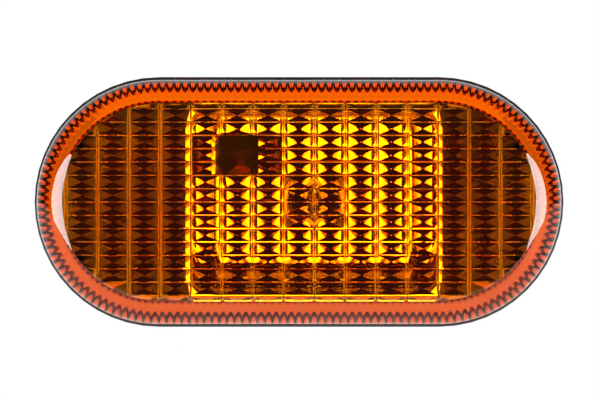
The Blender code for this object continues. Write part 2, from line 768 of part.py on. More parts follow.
def holder_cutters():
    """The wedge slot, the terminals' chambers, the blade slots and the connector's hollow."""
    front = NOSE_FRONT_Y - MERGE
    gap = TERMINAL_CLEARANCE
    half_wedge = (WEDGE_WIDTH / 2 + SEAT_GAP, WEDGE_THICKNESS / 2 + SEAT_GAP)
    slot = rounded_rectangle(2 * half_wedge[0], 2 * half_wedge[1], WEDGE_THICKNESS / 3)
    cutters = [prism("wedge_slot", slot, front, WEDGE_END_Y + SEAT_GAP)]
    top = TERMINAL_Z + TERMINAL_THICKNESS / 2 + gap
    low = TERMINAL_THICKNESS / 2 + gap
    half_width = TERMINAL_WIDTH / 2 + gap
    for x, side in terminal_places():
        x_range = (x - half_width, x + half_width)
        z_range = sorted((-side * low, side * top))
        cutters.append(box("chamber", x_range, (front, CHAMBER_END_Y), z_range))
        blade_run = (CHAMBER_END_Y - MERGE, SHROUD_FLOOR_Y + MERGE)
        cutters.append(box("blade_slot", x_range, blade_run, (-low, low)))
    inside = rounded_rectangle(
        SHROUD_LENGTH - 2 * SHROUD_WALL, SHROUD_HEIGHT - 2 * SHROUD_WALL, SHROUD_CORNER - SHROUD_WALL / 2
    )
    cutters.append(prism("connector_hollow", inside, SHROUD_FLOOR_Y, HOLDER_END_Y + MERGE))
    return cutters


def make_holder():
    """The moulded bayonet bulb holder with its connector."""
    holder = holder_core()
    join(holder, holder_shroud(), *holder_grips())
    for i, angle in enumerate(lug_angles()):
        outline = sector(NOSE_RADIUS - MERGE, LUG_RADIUS, angle, LUG_ANGLE)
        join(holder, prism(f"lug_{i}", outline, LUG_FRONT_Y, LUG_BACK_Y))
    cut(holder, *holder_cutters())
    floor = -SHROUD_HEIGHT / 2 + SHROUD_WALL
    key = box("key", (-KEY_WIDTH / 2, KEY_WIDTH / 2), (SHROUD_FLOOR_Y - MERGE, HOLDER_END_Y - KEY_HEIGHT),
              (floor - MERGE / 2, floor + KEY_HEIGHT))
    join(holder, key)
    return holder


def make_seal():
    """The rubber ring between the holder's flange and the box."""
    profile = [(SEAL_RADIUS + x, SEAL_Y + z) for x, z in circle(SEAL_SECTION / 2, steps=8)]
    return turned("holder_seal", profile, closed=True)


def make_terminal(name, centre_x, side):
    """A stamped terminal: a bowed finger on the bulb's wire, a crank and a blade."""
    bow_y = FINGER_START_Y + FINGER_LENGTH / 3
    path = (
        (FINGER_START_Y, side * TERMINAL_Z),
        (bow_y, side * (TERMINAL_Z - FINGER_BOW)),
        (bow_y + FINGER_LENGTH / 4, side * TERMINAL_Z),
        (CRANK_START_Y, side * TERMINAL_Z),
        (CRANK_END_Y - TERMINAL_THICKNESS / 2, 0.0),
        (BLADE_END_Y, 0.0),
    )
    return strip(name, path, TERMINAL_THICKNESS, TERMINAL_WIDTH, centre_x)


# Bulb


def wedge_outline(width, thickness, corner):
    """The wedge's outline, with the same point count as bulb_section."""
    return rounded_rectangle(width, thickness, corner)


def bulb_section(share, shrink, y):
    """A section of the bulb between its round capsule (share 0) and its flat wedge (share 1)."""
    wedge = wedge_outline(WEDGE_WIDTH - 2 * shrink, WEDGE_THICKNESS - 2 * min(shrink, WEDGE_THICKNESS / 4),
                          WEDGE_THICKNESS / 3)
    radius = BULB_RADIUS - shrink
    points = []
    count = len(wedge)
    for i, (x, z) in enumerate(wedge):
        angle = 2 * pi * (i + 0.5) / count
        round_x, round_z = radius * cos(angle), radius * sin(angle)
        points.append((round_x + share * (x - round_x), round_z + share * (z - round_z)))
    return at_depth(points, y)


def capsule(name, shrink, end_y, end_share):
    """The bulb's form, from its domed tip through the round capsule to the pressed wedge."""
    sections = []
    radius = BULB_RADIUS - shrink
    dome_y = BULB_TIP_Y + BULB_RADIUS
    for i in range(DOME_STEPS + 1):
        angle = pi / 2 * (i + 0.3) / (DOME_STEPS + 0.3)
        smaller = BULB_RADIUS - radius * sin(angle)
        sections.append(bulb_section(0.0, smaller, dome_y - radius * cos(angle)))
    pressed = NOSE_FRONT_Y - SEAT_GAP
    sections.append(bulb_section(0.0, shrink, pressed - WEDGE_SHOULDER))
    sections.append(bulb_section(end_share / 2, shrink, pressed - WEDGE_SHOULDER / 2))
    sections.append(bulb_section(end_share, shrink, end_y))
    return loft(name, sections)


def lead_wire_path(centre_x, side):
    """A lead's line: from the filament through the wedge, round its end and back along its face."""
    face_z = WEDGE_THICKNESS / 2 + SEAT_GAP + WIRE_RADIUS
    turn_y = WEDGE_END_Y + WIRE_CLEARANCE + WIRE_RADIUS - face_z / 2
    points = [(centre_x, FILAMENT_Y, 0.0), (centre_x, turn_y, 0.0)]
    for i in range(1, 8):
        angle = pi * i / 8
        points.append((centre_x, turn_y + face_z / 2 * sin(angle), side * face_z / 2 * (1 - cos(angle))))
    points.append((centre_x, turn_y, side * face_z))
    points.append((centre_x, NOSE_FRONT_Y + WEDGE_LENGTH / 3, side * face_z))
    return points


def make_bulb_glass():
    """The glass: a hollow capsule pressed flat into a wedge, with a hole for each lead."""
    glass = capsule("bulb_glass", 0.0, NOSE_FRONT_Y, 1.0)
    wedge = wedge_outline(WEDGE_WIDTH, WEDGE_THICKNESS, WEDGE_THICKNESS / 3)
    join(glass, prism("wedge", wedge, NOSE_FRONT_Y - SEAT_GAP, WEDGE_END_Y))
    hollow_end = NOSE_FRONT_Y - SEAT_GAP - WEDGE_SHOULDER / 2
    cut(glass, capsule("bulb_hollow", BULB_WALL, hollow_end, 0.6))
    for x, _side in terminal_places():
        hole = circle(WIRE_RADIUS + WIRE_CLEARANCE, (x, 0.0), 12)
        cut(glass, prism("lead_hole", hole, hollow_end - MERGE, WEDGE_END_Y + MERGE))
    return glass


def make_filament():
    """The coiled filament between the two leads' ends."""
    points = []
    steps = 9 * FILAMENT_TURNS
    for i in range(steps + 1):
        angle = 2 * pi * i * FILAMENT_TURNS / steps
        x = FILAMENT_LENGTH * (i / steps - 0.5)
        points.append((x, FILAMENT_Y + FILAMENT_RADIUS * cos(angle), FILAMENT_RADIUS * sin(angle)))
    coil = wire("filament", points, FILAMENT_WIRE)
    coil.data.bevel_resolution = 0
    return coil


def clear_scene():
    """Removes what the scene held before."""
    for obj in list(bpy.data.objects):
        bpy.data.objects.remove(obj)


def main():
    """Builds the lamp: fixed pieces in the lamp's frame, and the rest on the holder's axis."""
    clear_scene()
    amber = plastic("amber acrylic", (0.95, 0.36, 0.02), 0.08, transmission=0.9)
    black = plastic("black moulded plastic", (0.03, 0.03, 0.032), 0.45)
    grey = plastic("light grey moulded nylon", (0.42, 0.41, 0.39), 0.5)
    bright = plastic("bright metallised plastic", (0.85, 0.85, 0.82), 0.2, metallic=0.9)
    foam = plastic("black foam", (0.02, 0.02, 0.02), 0.95)
    rubber = plastic("sealing rubber", (0.06, 0.06, 0.06), 0.7)
    brass = plastic("tinned brass", (0.75, 0.68, 0.5), 0.3, metallic=1.0)
    glass = plastic("bulb glass", (0.98, 0.98, 0.98), 0.02, transmission=1.0)
    steel = plastic("lead wire", (0.5, 0.5, 0.5), 0.3, metallic=1.0)

    dress(make_lens(), amber)
    dress(make_housing(), black)
    dress(make_reflector(), bright)
    dress(make_gasket(), foam)

    axis = bpy.data.objects.new("holder_axis", None)
    axis.location = (HOLDER_X, 0.0, HOLDER_Z)
    bpy.context.scene.collection.objects.link(axis)
    dress(make_holder(), grey, axis)
    dress(make_seal(), rubber, axis)
    names = ("left", "right")
    for name, (x, side) in zip(names, terminal_places()):
        dress(make_terminal(f"terminal_{name}", x, side), brass, axis)
        dress(wire(f"lead_wire_{name}", lead_wire_path(x, side), WIRE_RADIUS), steel, axis)
    dress(make_bulb_glass(), glass, axis)
    dress(make_filament(), steel, axis)


main()
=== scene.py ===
"""Looks of an oval side indicator lamp: an amber prism lens on a black snap-in housing.

Everything is in metres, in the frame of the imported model: the lens faces -Y, the long axis runs
along X and +Z is up. Places come from the frame. A size that no box or joint of the frame gives
is the lamp's real size, and is a field of the class of its piece.
"""

import json
import logging
from dataclasses import dataclass, field
from enum import Enum, Flag, auto
from math import atan2, ceil, cos, pi, radians, sin, sqrt
from typing import Callable, Iterable, Sequence

import bmesh
import bpy
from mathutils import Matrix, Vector


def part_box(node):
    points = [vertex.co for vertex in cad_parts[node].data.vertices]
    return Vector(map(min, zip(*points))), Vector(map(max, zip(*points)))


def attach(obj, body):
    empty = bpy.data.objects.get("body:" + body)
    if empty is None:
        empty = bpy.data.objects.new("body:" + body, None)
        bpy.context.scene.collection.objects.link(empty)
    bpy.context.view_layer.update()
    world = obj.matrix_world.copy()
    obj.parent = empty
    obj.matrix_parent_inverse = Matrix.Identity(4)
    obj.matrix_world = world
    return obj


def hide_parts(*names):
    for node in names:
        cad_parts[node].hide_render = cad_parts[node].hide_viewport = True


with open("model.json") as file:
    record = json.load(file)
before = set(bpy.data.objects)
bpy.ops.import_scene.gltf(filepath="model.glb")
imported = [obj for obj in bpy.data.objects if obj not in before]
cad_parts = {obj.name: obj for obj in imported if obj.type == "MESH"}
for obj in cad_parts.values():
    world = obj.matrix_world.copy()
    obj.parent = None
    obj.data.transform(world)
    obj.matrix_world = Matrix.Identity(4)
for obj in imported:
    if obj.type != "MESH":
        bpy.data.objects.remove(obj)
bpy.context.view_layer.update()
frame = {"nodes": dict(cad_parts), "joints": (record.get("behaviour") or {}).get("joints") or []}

LOG = logging.getLogger("lamp")
MM = 0.001

# Angles between faces, in degrees, over which an edge is shaded sharp
SHARP_ON_PRISMS = 28.0
SHARP_ON_TRAY = 30.0
SHARP_ON_MOULDINGS = 38.0
SHARP_ON_LENS = 40.0
SHARP_ON_WIRE = 50.0
SHARP_ON_RUBBER = 60.0

# How a solid of the frame is cleaned and rounded: distances in metres, angles in degrees
WELD_DISTANCE = 0.002 * MM
FLAT_ANGLE = 1.0
ROUNDED_OVER = 30.0
ROUNDING_STEPS = 2
FLAT_FACE_WEIGHT = 80

# Largest corner of a rectangle, as a share of its side
LARGEST_CORNER = 0.499

# Octaves of the soft patches, and the noise between which their colour and roughness drift
PATCH_DETAIL = 3.0
COLOUR_DRIFT = (0.35, 0.65)
ROUGHNESS_DRIFT = (0.3, 0.7)

Point = tuple[float, float]
Loop = list[Vector]


class Body(str, Enum):
    """The bodies of the frame that pieces ride on."""

    LAMP = "lamp"
    HOLDER = "bulb_holder"


class Operation(str, Enum):
    """What a second solid does to the first."""

    JOIN = "UNION"
    CUT = "DIFFERENCE"
    COMMON = "INTERSECT"


class Rays(Flag):
    """The rays that a light is seen by."""

    DIFFUSE = auto()
    GLOSSY = auto()
    TRANSMISSION = auto()


class Face(str, Enum):
    """Forms of a light's face."""

    SQUARE = "RECTANGLE"
    ROUND = "ELLIPSE"


# Outlines, as points (x, z) in a plane across the Y axis


@dataclass(frozen=True)
class Stadium:
    """An outline with two straight sides and two half-round ends.

    Attributes:
        length: Size along X.
        height: Size along Z, which is also the ends' diameter.
    """

    length: float
    height: float

    def points(
        self, inset: float | Callable[[int], float], side_steps: int, end_steps: int
    ) -> list[Point]:
        """Draws the outline, counter-clockwise.

        Args:
            inset: How far the outline is drawn in, as one value or as a function of the point's number.
            side_steps: Steps along each straight side.
            end_steps: Steps round each end.

        Returns:
            The outline's points.
        """
        half = (self.length - self.height) / 2
        points: list[Point] = []
        for side, start in ((1, -pi / 2), (-1, pi / 2)):
            for i in range(end_steps + side_steps):
                drawn_in = inset(len(points)) if callable(inset) else inset
                radius = self.height / 2 - drawn_in
                if i < end_steps:
                    angle = start + pi * i / end_steps
                    points.append((side * half + radius * cos(angle), radius * sin(angle)))
                else:
                    along = 1 - 2 * (i - end_steps) / side_steps
                    points.append((side * half * along, side * radius))
        return points


@dataclass(frozen=True)
class RoundedRectangle:
    """A rectangle with round corners about a centre.

    Attributes:
        length: Size along X.
        height: Size along Z.
        corner: Radius of the corners.
        centre: Place of the middle.
        corner_steps: Steps round each corner.
    """

    length: float
    height: float
    corner: float
    centre: Point = (0.0, 0.0)
    corner_steps: int = 12

    def points(self) -> list[Point]:
        """Draws the outline, counter-clockwise.

        Returns:
            The outline's points.
        """
        corner = min(self.corner, LARGEST_CORNER * self.length, LARGEST_CORNER * self.height)
        points: list[Point] = []
        for quarter, (sx, sz) in enumerate(((1, 1), (-1, 1), (-1, -1), (1, -1))):
            x = self.centre[0] + sx * (self.length / 2 - corner)
            z = self.centre[1] + sz * (self.height / 2 - corner)
            for i in range(self.corner_steps + 1):
                angle = pi / 2 * (quarter + i / self.corner_steps)
                points.append((x + corner * cos(angle), z + corner * sin(angle)))
        return points


def circle(radius: float, centre: Point = (0.0, 0.0), steps: int = 64) -> list[Point]:
    """Draws a circle.

    Args:
        radius: The circle's radius.
        centre: Place of its middle.
        steps: Number of points.

    Returns:
        The circle's points.
    """
    turns = [2 * pi * i / steps for i in range(steps)]
    return [(centre[0] + radius * cos(a), centre[1] + radius * sin(a)) for a in turns]


def at_depth(outline: Sequence[Point], y: float) -> Loop:
    """Places an outline in space.

    Args:
        outline: Points (x, z).
        y: Depth of all of them.

    Returns:
        The points in space.
    """
    return [Vector((x, y, z)) for x, z in outline]


# Meshes


def add_piece(name: str, bm: bmesh.types.BMesh) -> bpy.types.Object:
    """Turns a bmesh into an object with its faces turned outwards.

    Args:
        name: Name of the object.
        bm: The mesh, which is freed.

    Returns:
        The new object.
    """
    bmesh.ops.recalc_face_normals(bm, faces=bm.faces)
    mesh = bpy.data.meshes.new(name)
    bm.to_mesh(mesh)
    bm.free()
    piece = bpy.data.objects.new(name, mesh)
    bpy.context.scene.collection.objects.link(piece)
    return piece


def loft(name: str, sections: Sequence[Loop], closed: bool = False) -> bpy.types.Object:
    """Makes a solid through loops of equal point counts.

    Args:
        name: Name of the object.
        sections: The loops, from one end to the other.
        closed: True joins the last loop to the first, as in a ring, and leaves out the caps.

    Returns:
        The new object.
    """
    bm = bmesh.new()
    rings = [[bm.verts.new(point) for point in section] for section in sections]
    pairs = list(zip(rings, rings[1:]))
    if closed:
        pairs.append((rings[-1], rings[0]))
    for ring, following in pairs:
        for i, vert in enumerate(ring):
            j = (i + 1) % len(ring)
            bm.faces.new((vert, ring[j], following[j], following[i]))
    if not closed:
        bm.faces.new(rings[0])
        bm.faces.new(rings[-1])
    return add_piece(name, bm)


def prism(name: str, outline: Sequence[Point], start_y: float, end_y: float) -> bpy.types.Object:
    """Makes a straight solid along Y.

    Args:
        name: Name of the object.
        outline: The solid's section.
        start_y: Depth of its front.
        end_y: Depth of its back.

    Returns:
        The new object.
    """
    return loft(name, [at_depth(outline, start_y), at_depth(outline, end_y)])


def apply_modifiers(piece: bpy.types.Object) -> None:
    """Turns a piece's modifiers into its mesh.

    Args:
        piece: The object.
    """
    graph = bpy.context.evaluated_depsgraph_get()
    piece.data = bpy.data.meshes.new_from_object(piece.evaluated_get(graph))
    piece.modifiers.clear()


def combine(base: bpy.types.Object, other: bpy.types.Object, operation: Operation) -> None:
    """Joins a solid to another, cuts it away or keeps what both share.

    Args:
        base: The solid that is changed.
        other: The second solid, which is removed.
        operation: What is done.
    """
    modifier = base.modifiers.new("combine", "BOOLEAN")
    modifier.operation = operation.value
    modifier.object = other
    modifier.solver = "EXACT"
    apply_modifiers(base)
    bpy.data.objects.remove(other)


def shade(piece: bpy.types.Object, limit: Callable[[bmesh.types.BMEdge], float]) -> None:
    """Shades a piece smooth, with its sharp edges kept.

    Args:
        piece: The object.
        limit: Gives for an edge the angle, in degrees, over which it is sharp.
    """
    bm = bmesh.new()
    bm.from_mesh(piece.data)
    for face in bm.faces:
        face.smooth = True
    for edge in bm.edges:
        edge.smooth = len(edge.link_faces) == 2 and edge.calc_face_angle(pi) < radians(limit(edge))
    bm.to_mesh(piece.data)
    bm.free()


def even_normals(piece: bpy.types.Object) -> None:
    """Turns the shading of small rounded edges to the flat faces beside them.

    Args:
        piece: The object.
    """
    weighted = piece.modifiers.new("even normals", "WEIGHTED_NORMAL")
    weighted.mode = "FACE_AREA"
    weighted.weight = FLAT_FACE_WEIGHT
    weighted.keep_sharp = True
    apply_modifiers(piece)


def softened(node: str, name: str, radius: float) -> bpy.types.Object:
    """Copies a node of the frame and rounds its edges, as a mould or a die leaves them.

    Args:
        node: Name of the node, which the copy stands for.
        name: Name of the new piece.
        radius: Radius of the edges.

    Returns:
        The new object.
    """
    bm = bmesh.new()
    bm.from_mesh(frame["nodes"][node].data)
    bmesh.ops.remove_doubles(bm, verts=bm.verts, dist=WELD_DISTANCE)
    bmesh.ops.dissolve_limit(bm, angle_limit=radians(FLAT_ANGLE), verts=bm.verts, edges=bm.edges)
    piece = add_piece(name, bm)
    rounding = piece.modifiers.new("rounded edges", "BEVEL")
    rounding.width = radius
    rounding.segments = ROUNDING_STEPS
    rounding.limit_method = "ANGLE"
    rounding.angle_limit = radians(ROUNDED_OVER)
    rounding.use_clamp_overlap = True
    rounding.miter_outer = "MITER_ARC"
    apply_modifiers(piece)
    shade(piece, lambda edge: SHARP_ON_MOULDINGS)
    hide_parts(node)
    return piece


def round_wire(name: str, points: Iterable[Vector], radius: float, sides: int) -> bpy.types.Object:
    """Makes a round wire along a line of points, with closed ends.

    Args:
        name: Name of the object.
        points: The wire's centre line.
        radius: The wire's radius.
        sides: Steps in each quarter of its section.

    Returns:
        The new object, as a mesh.
    """
    line = list(points)
    curve = bpy.data.curves.new(name, "CURVE")
    curve.dimensions = "3D"
    curve.bevel_depth = radius
    curve.bevel_resolution = sides
    curve.use_fill_caps = True
    spline = curve.splines.new("POLY")
    spline.points.add(len(line) - 1)
    for target, point in zip(spline.points, line):
        target.co = (*point, 1.0)
    bent = bpy.data.objects.new(name, curve)
    bpy.context.scene.collection.objects.link(bent)
    graph = bpy.context.evaluated_depsgraph_get()
    mesh = bpy.data.meshes.new_from_object(bent.evaluated_get(graph))
    bpy.data.objects.remove(bent)
    bpy.data.curves.remove(curve)
    mesh.name = name
    piece = bpy.data.objects.new(name, mesh)
    bpy.context.scene.collection.objects.link(piece)
    shade(piece, lambda edge: SHARP_ON_WIRE)
    return piece


# Materials


def linear(code: str) -> tuple[float, float, float, float]:
    """Turns an sRGB hex colour into linear values.

    Args:
        code: The colour, such as "#ff8800".

    Returns:
        Red, green, blue and an alpha of 1.
    """
    shares = [int(code[i : i + 2], 16) / 255 for i in (1, 3, 5)]
    red, green, blue = [s / 12.92 if s <= 0.04045 else ((s + 0.055) / 1.055) ** 2.4 for s in shares]
    return red, green, blue, 1.0


def add_node(
    tree: bpy.types.NodeTree, kind: str, inputs: dict | None = None, **settings: object
) -> bpy.types.Node:
    """Adds a node to a tree.

    Args:
        tree: The tree that the node goes into.
        kind: Blender's name for the node.
        inputs: A value or a linked socket for each input, by its name or number.
        **settings: Values of the node's own settings.

    Returns:
        The new node.
    """
    node = tree.nodes.new(kind)
    for key, value in settings.items():
        setattr(node, key, value)
    for key, value in (inputs or {}).items():
        if isinstance(value, bpy.types.NodeSocket):
            tree.links.new(value, node.inputs[key])
        else:
            node.inputs[key].default_value = value
    return node


@dataclass(frozen=True)
class Grain:
    """Fine relief of a surface, made from noise at a real size.

    Attributes:
        size: Distance between its bumps, in metres.
        height: Height of the bumps, in metres.
        detail: Octaves of finer noise in it.
    """

    size: float
    height: float
    detail: float = 2.0


@dataclass(frozen=True)
class Finish:
    """A finish: what the material is, how its surface was made and what that gives the eye.

    Attributes:
        name: The material's common name.
        colour: Main colour, sRGB.
        worn_colour: Second colour, sRGB, which the first drifts to in soft patches.
        roughness: Lowest and highest roughness.
        grain: Fine relief.
        patches: Size of the soft patches, in metres.
        metallic: 1 for bare metal.
        ior: Refractive index.
        transmission: 1 for clear materials.
        absorption: Colour that the clear material lets through, or None.
        density: Strength of the absorption, per metre.
    """

    name: str
    colour: str
    worn_colour: str
    roughness: tuple[float, float]
    grain: Grain
    patches: float = 6 * MM
    metallic: float = 0.0
    ior: float = 1.5
    transmission: float = 0.0
    absorption: tuple[float, float, float] | None = None
    density: float = 0.0

    def material(self) -> bpy.types.Material:
        """Builds the material.

        Returns:
            The new material.
        """
        made = bpy.data.materials.new(self.name)
        made.use_nodes = True
        tree = made.node_tree
        shader = tree.nodes["Principled BSDF"]
        place = add_node(tree, "ShaderNodeTexCoord").outputs["Object"]
        patches = add_node(tree, "ShaderNodeTexNoise", {
            "Vector": place, "Scale": 1 / self.patches, "Detail": PATCH_DETAIL,
        })
        drift = add_node(tree, "ShaderNodeMapRange", {
            "Value": patches.outputs["Fac"], "From Min": COLOUR_DRIFT[0], "From Max": COLOUR_DRIFT[1],
        })
        colour = add_node(tree, "ShaderNodeMix", {
            0: drift.outputs["Result"], 6: linear(self.colour), 7: linear(self.worn_colour),
        }, data_type="RGBA")
        rough = add_node(tree, "ShaderNodeMapRange", {
            "Value": patches.outputs["Fac"],
            "From Min": ROUGHNESS_DRIFT[0], "From Max": ROUGHNESS_DRIFT[1],
            "To Min": self.roughness[0], "To Max": self.roughness[1],
        })
        noise = add_node(tree, "ShaderNodeTexNoise", {
            "Vector": place, "Scale": 1 / self.grain.size, "Detail": self.grain.detail,
        })
        relief = add_node(tree, "ShaderNodeBump", {
            "Height": noise.outputs["Fac"], "Distance": self.grain.height, "Strength": 1.0,
        })
        tree.links.new(colour.outputs[2], shader.inputs["Base Color"])
        tree.links.new(rough.outputs["Result"], shader.inputs["Roughness"])
        tree.links.new(relief.outputs["Normal"], shader.inputs["Normal"])
        shader.inputs["Metallic"].default_value = self.metallic
        shader.inputs["IOR"].default_value = self.ior
        shader.inputs["Transmission Weight"].default_value = self.transmission
        if self.absorption:
            inside = add_node(tree, "ShaderNodeVolumeAbsorption", {
                "Color": (*self.absorption, 1.0), "Density": self.density,
            })
            tree.links.new(inside.outputs[0], tree.nodes["Material Output"].inputs["Volume"])
        return made


# Amber acrylic (PMMA), moulded in a polished tool: clear, bright at its edges, deep orange where thick
AMBER_ACRYLIC = Finish(
    "amber acrylic", "#ffffff", "#fffdf8", (0.0, 0.012), Grain(2.2 * MM, 0.0012 * MM),
    ior=1.49, transmission=1.0, absorption=(0.996, 0.794, 0.0), density=1600.0,
)

# Black ABS, moulded in a spark-eroded tool: a deep black with a fine satin grain
BLACK_ABS = Finish(
    "black ABS", "#211d1f", "#282426", (0.24, 0.32), Grain(0.22 * MM, 0.012 * MM),
    patches=9 * MM, ior=1.53,
)

# Polycarbonate, vacuum-metallised with aluminium: a bright mirror, slightly wavy from the moulding
METALLISED = Finish(
    "metallised polycarbonate", "#f2f1ec", "#e6e4dc", (0.02, 0.045), Grain(1.6 * MM, 0.006 * MM),
    metallic=1.0,
)

# Closed-cell EPDM foam, die-cut from sheet: dull black with open cells on the cut faces
FOAM = Finish(
    "closed-cell foam", "#141414", "#222121", (0.85, 0.97), Grain(0.45 * MM, 0.12 * MM, 4.0),
    patches=1.4 * MM,
)

# Glass-filled nylon 66, moulded: light grey, half-matt, with faint fibre streaks
NYLON = Finish(
    "glass-filled nylon", "#adaba7", "#b7b5b0", (0.42, 0.56), Grain(0.3 * MM, 0.01 * MM, 4.0),
    patches=3 * MM, ior=1.53,
)

# Silicone rubber, moulded: soft sheen and a little bloom
SILICONE = Finish(
    "silicone rubber", "#2a292a", "#343334", (0.45, 0.6), Grain(0.25 * MM, 0.004 * MM),
    patches=2 * MM, ior=1.43,
)

# Tinned brass strip, stamped: pale metal with rolling marks and dull patches
TINNED_BRASS = Finish(
    "tinned brass", "#d9d3bd", "#c9bd97", (0.2, 0.36), Grain(0.2 * MM, 0.003 * MM),
    patches=1.5 * MM, metallic=1.0,
)

# Soda-lime glass, blown and pressed: clear with a faint ripple
BULB_GLASS = Finish(
    "soda-lime glass", "#ffffff", "#fbfdfb", (0.0, 0.01), Grain(2.5 * MM, 0.004 * MM),
    ior=1.52, transmission=1.0,
)

# Nickel-iron wire, drawn: bright with fine lengthwise marks
DRAWN_WIRE = Finish(
    "drawn nickel wire", "#b9b4aa", "#a39c90", (0.22, 0.34), Grain(0.12 * MM, 0.002 * MM),
    patches=1 * MM, metallic=1.0,
)

# Tungsten, wound into a coil: dark grey metal
TUNGSTEN = Finish(
    "tungsten", "#8d8984", "#7b7772", (0.3, 0.4), Grain(0.08 * MM, 0.002 * MM),
    patches=0.6 * MM, metallic=1.0,
)


def dress(piece: bpy.types.Object, finish: Finish, body: Body) -> None:
    """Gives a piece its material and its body.

    Args:
        piece: The object.
        finish: What it is made of.
        body: The body that it moves with.
    """
    piece.data.materials.clear()
    piece.data.materials.append(finish.material())
    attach(piece, body.value)
    LOG.info("%s: %d faces of %s", piece.name, len(piece.data.polygons), finish.name)


# Where the holder's own axis crosses the panel, from the joint that turns it
HOLDER_AXIS = Vector(frame["joints"][0]["pos_m"])


@dataclass(frozen=True)
class PrismField:
    """The four-sided prisms on the back of the lens's face, in columns and rows, and the clear pad.

    Attributes:
        width: Pitch of the columns.
        height: Pitch of the rows.
        rise: Height of each prism's peak.
        column_land: Flat strip between columns.
        row_land: Flat strip between rows.
        proud: How far the lands stand off the lens's inside.
        rounding: Radius of the prisms' edges.
        pad_x: Middle of the clear pad.
        pad_width: Width of the pad.
        pad_first_row: Rows between the lens's middle and the pad.
        pad_rows: Height of the pad, in rows.
        crease: Angle between faces, in degrees, from which an edge is rounded.
        rounding_steps: Steps of the prisms' rounded edges.
        pad_corner_steps: Steps of the pad's corners.
    """

    width: float = 6.28 * MM
    height: float = 2.69 * MM
    rise: float = 1.19 * MM
    column_land: float = 0.6 * MM
    row_land: float = 0.22 * MM
    proud: float = 0.15 * MM
    rounding: float = 0.07 * MM
    pad_x: float = -12.9 * MM
    pad_width: float = 9.5 * MM
    pad_first_row: int = 2
    pad_rows: int = 3
    crease: float = 5.0
    rounding_steps: int = 3
    pad_corner_steps: int = 2

    def lines(self, pitch: float, land: float, reach: float, on_line: bool) -> list[float]:
        """Finds where the prisms begin and end along one axis.

        Args:
            pitch: Distance between prisms.
            land: Flat strip between them.
            reach: Half of the field's size.
            on_line: True puts a strip at 0, and False a prism.

        Returns:
            The start and end of each prism, in one list.
        """
        count = ceil(reach / pitch + (0.0 if on_line else 0.5))
        first = -count * pitch if on_line else -(count - 0.5) * pitch
        total = 2 * count if on_line else 2 * count - 1
        starts = [first + i * pitch for i in range(total)]
        return [edge for start in starts for edge in (start + land / 2, start + pitch - land / 2)]

    def plate(self, reach: Point, base_y: float, buried_y: float) -> bpy.types.Object:
        """Makes a plate that carries the prisms.

        Args:
            reach: Half of the field's length and height.
            base_y: Depth of the lens's inside, which the lands stand off.
            buried_y: Depth of the plate's front, inside the lens's wall.

        Returns:
            The plate.
        """
        bm = bmesh.new()
        xs = self.lines(self.width, self.column_land, reach[0], False)
        zs = self.lines(self.height, self.row_land, reach[1], True)
        land_y = base_y + self.proud
        grid = [[bm.verts.new((x, land_y, z)) for z in zs] for x in xs]
        for i in range(len(xs) - 1):
            for k in range(len(zs) - 1):
                corners = (grid[i][k], grid[i + 1][k], grid[i + 1][k + 1], grid[i][k + 1])
                if i % 2 or k % 2:
                    bm.faces.new(corners)
                    continue
                peak = ((xs[i] + xs[i + 1]) / 2, land_y + self.rise, (zs[k] + zs[k + 1]) / 2)
                apex = bm.verts.new(peak)
                for a, b in zip(corners, corners[1:] + corners[:1]):
                    bm.faces.new((a, b, apex))
        least = radians(self.crease)
        edges = [e for e in bm.edges if len(e.link_faces) == 2 and e.calc_face_angle() > least]
        bmesh.ops.bevel(
            bm, geom=edges, offset=self.rounding, segments=self.rounding_steps, profile=0.5,
            affect="EDGES", clamp_overlap=True,
        )
        rim = self.border(bm)
        buried = [bm.verts.new((v.co.x, buried_y, v.co.z)) for v in rim]
        for i in range(len(rim)):
            j = (i + 1) % len(rim)
            bm.faces.new((rim[i], rim[j], buried[j], buried[i]))
        bm.faces.new(buried)
        return add_piece("prism_plate", bm)

    @staticmethod
    def border(bm: bmesh.types.BMesh) -> list[bmesh.types.BMVert]:
        """Finds the vertices round the edge of an open sheet, in order."""
        edge = next(e for e in bm.edges if len(e.link_faces) == 1)
        first, vert = edge.verts
        loop = [first]
        while vert is not first:
            loop.append(vert)
            edge = next(e for e in vert.link_edges if e is not edge and len(e.link_faces) == 1)
            vert = edge.other_vert(vert)
        return loop

    def pad(self, front_y: float, back_y: float) -> bpy.types.Object:
        """Makes the block that clears the pad among the prisms.

        Args:
            front_y: Depth of the pad's face.
            back_y: A depth behind the prisms.

        Returns:
            The block.
        """
        outline = RoundedRectangle(
            self.pad_width, self.pad_rows * self.height, self.rounding,
            (self.pad_x, (self.pad_first_row + self.pad_rows / 2) * self.height),
            self.pad_corner_steps,
        )
        return prism("pad", outline.points(), front_y, back_y)


